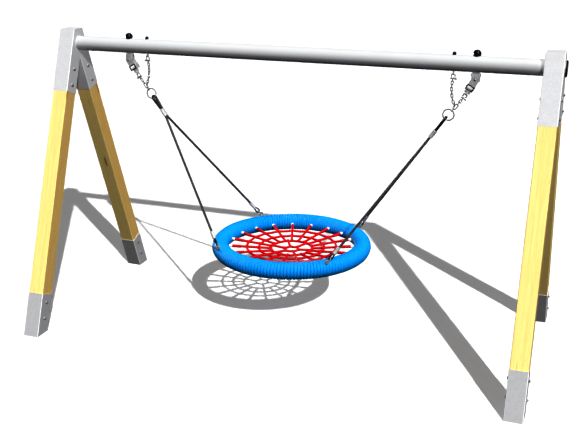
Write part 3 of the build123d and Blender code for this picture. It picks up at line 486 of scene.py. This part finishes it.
def wind_ring(material):
    """One rope wound round the seat ring, turn against turn, pressed flat where the turns spread."""
    rows = WINDING_TURNS * STEPS_PER_TURN
    share = np.arange(rows) / rows
    around = share * math.tau
    turn = share * math.tau * WINDING_TURNS
    half_thick = (WINDING_R - FOAM_R) / 2
    centre_r = WINDING_R - half_thick
    radial = np.stack([np.cos(around), np.sin(around), np.zeros(rows)], axis=1)
    tangent = np.stack([-np.sin(around), np.cos(around), np.zeros(rows)], axis=1)
    upward = np.array([0.0, 0.0, 1.0])[None]
    outward = radial * np.cos(turn)[:, None] + upward * np.sin(turn)[:, None]
    centres = radial * SEAT_R + outward * centre_r + upward * SEAT_Z
    pitch = math.tau * (SEAT_R + centre_r * np.cos(turn)) / WINDING_TURNS
    angles = np.arange(WINDING_SIDES) * math.tau / WINDING_SIDES
    wide = np.cos(angles)[None] * (pitch * TURN_HALF_WIDTH)[:, None]
    thick = np.sign(np.sin(angles)) * np.abs(np.sin(angles)) ** 0.85
    offsets = np.stack([wide, np.broadcast_to(thick[None] * half_thick, wide.shape)], axis=2)
    piece = tube("ring_winding", centres, tangent, outward, offsets, True, material)
    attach(piece, "seat")
    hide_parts("seat_ring_winding")
    return piece


# ---- net ----

def net_height(radius):
    return SEAT_Z - NET_SAG * (1 - radius / NET_CLIP_RADIUS)


def radial_angle(index):
    return math.pi / 2 + math.tau * index / NET_RADIALS


def net_point(radius, angle):
    return np.array([radius * math.cos(angle), radius * math.sin(angle), net_height(radius)])


def strand(name, centres, radius, closed, material):
    """A round rope through points that lie nearly level."""
    before = np.roll(centres, 1, axis=0)
    after = np.roll(centres, -1, axis=0)
    if not closed:
        before[0] = centres[0]
        after[-1] = centres[-1]
    direction = after - before
    direction /= np.linalg.norm(direction, axis=1)[:, None]
    across = np.cross(direction, [0.0, 0.0, 1.0])
    across /= np.linalg.norm(across, axis=1)[:, None]
    outward = np.cross(across, direction)
    offsets = circle_offsets(len(centres), NET_ROPE_SIDES, radius)
    return tube(name, centres, across, outward, offsets, closed, material)


def swollen(travel, crossings, radius):
    """The rope's radius at each distance from the middle: a strand opens where another passes through it."""
    swell = np.zeros_like(travel)
    for crossing in crossings:
        swell += np.exp(-(((travel - crossing) / NET_CROSSING_REACH) ** 2))
    return radius * (1 + NET_CROSSING_SWELL * swell)


def radial_rope(angle, material):
    outer = NET_CLIP_RADIUS - NET_CLIP_LENGTH * 0.2
    inner = NET_RING_RADII[0]
    travel = np.linspace(outer, inner - 0.004, 72)
    centres = np.array([net_point(r, angle) for r in travel])
    radius = swollen(travel, NET_RING_RADII, NET_ROPE_R)
    doubled = 1 / (1 + np.exp((outer - NET_END_LENGTH - travel) / 0.0016))
    return strand("radial", centres, radius * (1 + NET_END_SWELL * doubled), False, material)


def ring_rope(radius, corners, material):
    """A ring rope: nearly straight between the crossings that pull it outwards."""
    per_side = 8
    centres = []
    for index, angle in enumerate(corners):
        start = net_point(radius, angle)
        end = net_point(radius, corners[(index + 1) % len(corners)])
        for step in range(per_side):
            share = step / per_side
            sag = -NET_RING_DIP * 4 * share * (1 - share)
            centres.append(start * (1 - share) + end * share + np.array([0.0, 0.0, sag]))
    centres = np.array(centres)
    smooth = (np.roll(centres, 1, axis=0) + 2 * centres + np.roll(centres, -1, axis=0)) / 4
    return strand("ring", smooth, NET_ROPE_R, True, material)


def join(name, pieces):
    bpy.ops.object.select_all(action="DESELECT")
    for piece in pieces:
        piece.select_set(True)
    bpy.context.view_layer.objects.active = pieces[0]
    bpy.ops.object.join()
    joined = pieces[0]
    joined.name = name
    joined.data.name = name
    return joined


def knot_net(material):
    """The seat's net: radial ropes, ring ropes passed through them, spokes and a six-sided hub."""
    angles = [radial_angle(k) for k in range(NET_RADIALS)]
    ropes = [radial_rope(angle, material) for angle in angles]
    for radius in NET_RING_RADII:
        ropes.append(ring_rope(radius, angles, material))
    hub_angles = [math.tau * k / NET_SPOKES for k in range(NET_SPOKES)]
    ropes.append(ring_rope(NET_HUB_RADIUS, hub_angles, material))
    for angle in hub_angles:
        travel = np.linspace(NET_RING_RADII[0] + 0.002, NET_HUB_RADIUS - 0.004, 20)
        centres = np.array([net_point(r, angle) for r in travel])
        radius = swollen(travel, (NET_RING_RADII[0], NET_HUB_RADIUS), NET_ROPE_R)
        ropes.append(strand("spoke", centres, radius, False, material))
    net = join("knotted_net", ropes)
    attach(net, "seat")
    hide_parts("net")
    return net


# ---- pressed sleeves and net clips ----

def turned_piece(name, sides, sections):
    """A solid along +Z drawn up ring by ring, each section a height and its two half widths."""
    bpy.ops.object.select_all(action="DESELECT")
    height, wide, thick = sections[0]
    bpy.ops.mesh.primitive_circle_add(vertices=sides, radius=1.0, fill_type="NGON", location=(0.0, 0.0, 0.0))
    piece = bpy.context.active_object
    bpy.ops.object.mode_set(mode="EDIT")
    bpy.ops.mesh.select_all(action="SELECT")
    bpy.ops.transform.resize(value=(wide, thick, 1.0), center_override=(0.0, 0.0, 0.0))
    bpy.ops.transform.translate(value=(0.0, 0.0, height))
    for next_height, next_wide, next_thick in sections[1:]:
        bpy.ops.mesh.extrude_region_move(TRANSFORM_OT_translate={"value": (0.0, 0.0, next_height - height)})
        growth = (next_wide / wide, next_thick / thick, 1.0)
        bpy.ops.transform.resize(value=growth, center_override=(0.0, 0.0, 0.0))
        height, wide, thick = next_height, next_wide, next_thick
    bpy.ops.mesh.select_all(action="SELECT")
    bpy.ops.mesh.normals_make_consistent(inside=False)
    bpy.ops.object.mode_set(mode="OBJECT")
    bpy.ops.object.shade_smooth_by_angle(angle=math.radians(35.0))
    piece.name = name
    return piece


def stand(piece, base, up, wide):
    """Turns a piece's +Z and +X to two directions, moves it to its base, and applies its place."""
    z = Vector(up).normalized()
    x = (Vector(wide) - z * Vector(wide).dot(z)).normalized()
    turn = Matrix((x, z.cross(x), z)).transposed().to_4x4()
    piece.matrix_world = Matrix.Translation(Vector(base)) @ turn
    bpy.ops.object.select_all(action="DESELECT")
    piece.select_set(True)
    bpy.context.view_layer.objects.active = piece
    bpy.ops.object.transform_apply(location=True, rotation=True, scale=True)
    return piece


def pressed_sleeve(half_width, half_thick, length):
    """An oval aluminium sleeve: bevelled ends with a sunk mouth, and three bites of the pressing die."""
    def ring(height, shrink):
        return (height, half_width - shrink, half_thick - shrink)

    sections = [ring(0.0030, 0.0042), ring(0.0, 0.0036), ring(0.0, 0.0026), ring(0.0032, 0.0)]
    for share in (0.27, 0.5, 0.73):
        middle = length * share
        sections += [ring(middle - 0.0030, 0.0), ring(middle - 0.0014, 0.0007), ring(middle + 0.0014, 0.0007),
                     ring(middle + 0.0030, 0.0)]
    sections += [ring(length - 0.0032, 0.0), ring(length, 0.0026), ring(length, 0.0036),
                 ring(length - 0.0030, 0.0042)]
    return turned_piece("sleeve", 32, sections)


def press_sleeves(material):
    """The two sleeves under the eyes, and the four above the seat's thimbles."""
    pieces = []
    for side_name, side in SIDES.items():
        pull = np.array([side * PULL[0], PULL[1], PULL[2]])
        lows = {}
        highs = {}
        for end_name in ("front", "rear"):
            lows[end_name], highs[end_name] = ends_of(f"{side_name}_{end_name}_rope")
        middle = (highs["front"] + highs["rear"]) / 2
        sleeve = pressed_sleeve(EYE_SLEEVE_HALF_WIDTH, EYE_SLEEVE_HALF_THICK, EYE_SLEEVE_LENGTH)
        pieces.append(stand(sleeve, middle, pull, (0.0, 1.0, 0.0)))
        for end_name in ("front", "rear"):
            up = highs[end_name] - lows[end_name]
            up /= np.linalg.norm(up)
            radial = Vector((lows[end_name][0], lows[end_name][1], 0.0))
            wide = Vector(up).cross(radial)
            sleeve = pressed_sleeve(FOOT_SLEEVE_HALF_WIDTH, FOOT_SLEEVE_HALF_THICK, FOOT_SLEEVE_LENGTH)
            pieces.append(stand(sleeve, lows[end_name] - up * FOOT_SLEEVE_LENGTH, up, wide))
    sleeves = join("pressed_sleeves", pieces)
    sleeves.data.materials.append(material)
    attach(sleeves, "seat")
    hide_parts("ferrules")
    return sleeves


def snap_clips(material):
    """White clips where the net's radial ropes meet the wound ring, each with a groove near its inner end."""
    length = NET_CLIP_LENGTH
    profile = [(0.0, 0.62), (0.0, 0.86), (0.0012, 0.97), (0.0052, 1.0), (0.0060, 0.90), (0.0074, 0.90),
               (0.0082, 1.0), (length - 0.0050, 1.0), (length - 0.0016, 0.90), (length, 0.66)]
    sections = [(height, NET_CLIP_R * share, NET_CLIP_R * share) for height, share in profile]
    first = turned_piece("clip", 24, sections)
    pieces = []
    for index in range(NET_RADIALS):
        angle = radial_angle(index)
        clip = first.copy()
        clip.data = first.data.copy()
        bpy.context.scene.collection.objects.link(clip)
        inner = Vector(net_point(NET_CLIP_RADIUS - length / 2, angle))
        outer = Vector(net_point(NET_CLIP_RADIUS + length / 2, angle))
        pieces.append(stand(clip, inner, outer - inner, (-math.sin(angle), math.cos(angle), 0.0)))
    bpy.data.objects.remove(first)
    clips = join("snap_clips", pieces)
    clips.data.materials.append(material)
    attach(clips, "seat")
    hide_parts("net_clips")
    return clips


# ---- finishes on the CAD nodes ----

for side_name, side in SIDES.items():
    set_finish(laminated_pine(f"{side_name}_front_pine", LEG_LEAN, side), f"{side_name}_front_post")
    set_finish(laminated_pine(f"{side_name}_rear_pine", -LEG_LEAN, side), f"{side_name}_rear_post")
    bracket_sheet = galvanised_sheet(f"{side_name}_bracket_sheet", bright=0.69, mottle=0.0, side=side)
    set_finish(bracket_sheet, f"{side_name}_head_bracket")
    shoe_sheet = galvanised_sheet(f"{side_name}_shoe_sheet", bright=0.54, mottle=0.22, side=side)
    set_finish(shoe_sheet, f"{side_name}_front_shoe", f"{side_name}_rear_shoe")

zinc = plain_metal(
    "bright_zinc", colour(0.18, 0.183, 0.187), colour(0.40, 0.403, 0.407),
    metallic=0.25, rough_low=0.24, rough_high=0.42, grain=0.0001,
)
stainless = plain_metal(
    "chain_steel", colour(0.11, 0.112, 0.115), colour(0.28, 0.283, 0.287),
    metallic=0.30, rough_low=0.24, rough_high=0.40, grain=0.00005,
)
bent_wire = plain_metal(
    "ring_steel", colour(0.16, 0.165, 0.17), colour(0.34, 0.345, 0.35),
    metallic=0.30, rough_low=0.30, rough_high=0.44, grain=0.00005,
)
forging = plain_metal(
    "hanger_steel", colour(0.36, 0.365, 0.37), colour(0.56, 0.565, 0.57),
    metallic=0.15, rough_low=0.42, rough_high=0.60, grain=0.0003,
)
tongue_steel = plain_metal(
    "tongue_steel", colour(0.42, 0.425, 0.43), colour(0.62, 0.625, 0.63),
    metallic=0.10, rough_low=0.44, rough_high=0.62, grain=0.0004,
)
pale_metal = plain_metal(
    "pale_metal", colour(0.82, 0.83, 0.84), colour(0.95, 0.95, 0.96),
    metallic=0.05, rough_low=0.30, rough_high=0.44, grain=0.0001,
)
pressed = plain_metal(
    "pressed_aluminium", colour(0.42, 0.423, 0.427), colour(0.58, 0.583, 0.587),
    metallic=0.10, rough_low=0.32, rough_high=0.48, grain=0.0002,
)
black_plastic = moulded_plastic("black_polyamide", colour(0.004, 0.004, 0.005), rough=0.34)
white_plastic = moulded_plastic("white_polyamide", colour(0.80, 0.80, 0.79), rough=0.38)
foam = moulded_plastic("black_foam", colour(0.02, 0.02, 0.02), rough=0.8)
hose = hose_rubber()
# Each braid: painted shade for the weave's valleys first, then the rope's own colour on the crowns.
blue_braid = braided_rope("blue_braid", colour(0.0, 0.16, 0.48), colour(0.0, 0.42, 0.88),
                          plait=0.012, strands=8.0, depth=0.0005)
red_braid = braided_rope("red_braid", colour(0.34, 0.0, 0.004), colour(0.72, 0.0, 0.015),
                         plait=0.010, strands=8.0, depth=0.0005)

set_finish(beam_steel(), "beam_tube")
set_finish(zinc, "frame_bolts", "frame_bolt_nuts", "swing_pins", "hanger_bolts", "safety_eyebolts",
           "safety_nuts", "seat_eyes", "seat_shackles", "seat_shackle_pins", "seat_ring_tube")
set_finish(black_plastic, "hanger_caps", "safety_caps", "left_beam_cap", "right_beam_cap",
           "left_window_frames", "right_window_frames")
set_finish(hose, "ring_eyes", "thimbles")
set_finish(foam, "seat_ring_foam")
for side_name in SIDES:
    set_finish(zinc, *(f"{side_name}_{part}" for part in ("hanger_pins", "shackle", "safety_shackle")))
    set_finish(stainless, *(f"{side_name}_{part}" for part in ("main_chain", "safety_chain")))
    set_finish(forging, *(f"{side_name}_{part}" for part in ("bearing_block", "yoke", "link")))
    set_finish(bent_wire, f"{side_name}_hanging_ring")
    set_finish(pale_metal, f"{side_name}_bearing_barrel")
    set_finish(tongue_steel, f"{side_name}_tongue")


# ---- new pieces ----

laid = twisted_rope()
for side_name, side in SIDES.items():
    for end_name in ("front", "rear"):
        lay_rope(f"{side_name}_{end_name}_rope", side, laid)

wind_ring(blue_braid)
knot_net(red_braid)
press_sleeves(pressed)
snap_clips(white_plastic)


# ---- floor, light and camera ----

def build_floor():
    """A pale floor that throws no light back on the object's underside."""
    bpy.ops.object.select_all(action="DESELECT")
    bpy.ops.mesh.primitive_plane_add(size=240.0, location=(0.0, 0.0, -0.0005))
    floor = bpy.context.active_object
    floor.name = "floor"
    floor.visible_diffuse = False
    floor.visible_glossy = False
    finish = Finish("pale_floor", roughness=0.9, specular_ior_level=0.0)
    finish.put("Base Color", colour(0.86, 0.86, 0.86))
    floor.data.materials.append(finish.material)
    return floor


def build_backdrop():
    """A plain white dome round the scene. It lights nothing and casts no shadow."""
    bpy.ops.object.select_all(action="DESELECT")
    bpy.ops.mesh.primitive_uv_sphere_add(segments=48, ring_count=24, radius=118.0)
    backdrop = bpy.context.active_object
    backdrop.name = "backdrop"
    backdrop.visible_diffuse = False
    backdrop.visible_glossy = False
    backdrop.visible_shadow = False
    finish = Finish("backdrop_white", roughness=1.0, specular_ior_level=0.0)
    finish.put("Base Color", colour(0.0, 0.0, 0.0))
    finish.put("Emission Color", colour(1.0, 1.0, 1.0))
    finish.put("Emission Strength", 1.0)
    backdrop.data.materials.append(finish.material)


def light_group(name, floor, state):
    """A light-linking group in which the floor is the one thing lit, or the one thing left out."""
    lit = bpy.data.collections.new(name)
    lit.objects.link(floor)
    lit.collection_objects[0].light_linking.link_state = state
    return lit


def sun(name, towards, strength, lit, casts_shadow=True):
    """A distant light. towards is the direction from the object to the light."""
    lamp = bpy.data.lights.new(name, "SUN")
    lamp.energy = strength
    lamp.angle = math.radians(0.6)
    lamp.use_shadow = casts_shadow
    holder = bpy.data.objects.new(name, lamp)
    holder.rotation_mode = "QUATERNION"
    holder.rotation_quaternion = (-Vector(towards)).to_track_quat("-Z", "Y")
    holder.light_linking.receiver_collection = lit
    bpy.context.scene.collection.objects.link(holder)


def build_light(floor):
    """Low key, high light and back fill on the object; a matching key and a fill on the floor."""
    on_floor = light_group("floor_alone", floor, "INCLUDE")
    off_floor = light_group("all_but_floor", floor, "EXCLUDE")
    key_side = (0.486, -0.661, 0.572)
    sun("floor_key", key_side, 4.8, on_floor)
    sun("floor_fill", (0.0, 0.0, 1.0), 1.2, on_floor, casts_shadow=False)
    sun("low_key", key_side, 2.2, off_floor)
    sun("high_key", (0.36, -0.32, 0.88), 3.8, off_floor, casts_shadow=False)
    sun("back_fill", (-0.75, 0.65, -0.12), 2.0, off_floor, casts_shadow=False)
    world = bpy.data.worlds.new("studio")
    bpy.context.scene.world = world
    world.use_nodes = True
    world.node_tree.nodes["Background"].inputs["Color"].default_value = colour(0.07, 0.07, 0.073)


def build_camera():
    """A camera three metres up, in front and to the right of the object, looking down at it."""
    tilt_down = 0.3246  # radians
    turn_left = 0.3489
    lens = bpy.data.cameras.new("camera")
    lens.sensor_width = 36.0
    lens.lens = 55.76
    lens.clip_end = 300.0
    camera = bpy.data.objects.new("camera", lens)
    camera.location = (2.1743, -6.0098, 3.0386)
    camera.rotation_euler = (math.pi / 2 - tilt_down, 0.0, turn_left)
    bpy.context.scene.collection.objects.link(camera)
    bpy.context.scene.camera = camera
    view = bpy.context.scene.view_settings
    view.view_transform = "Standard"
    view.gamma = 0.6


floor = build_floor()
build_backdrop()
build_light(floor)
build_camera()
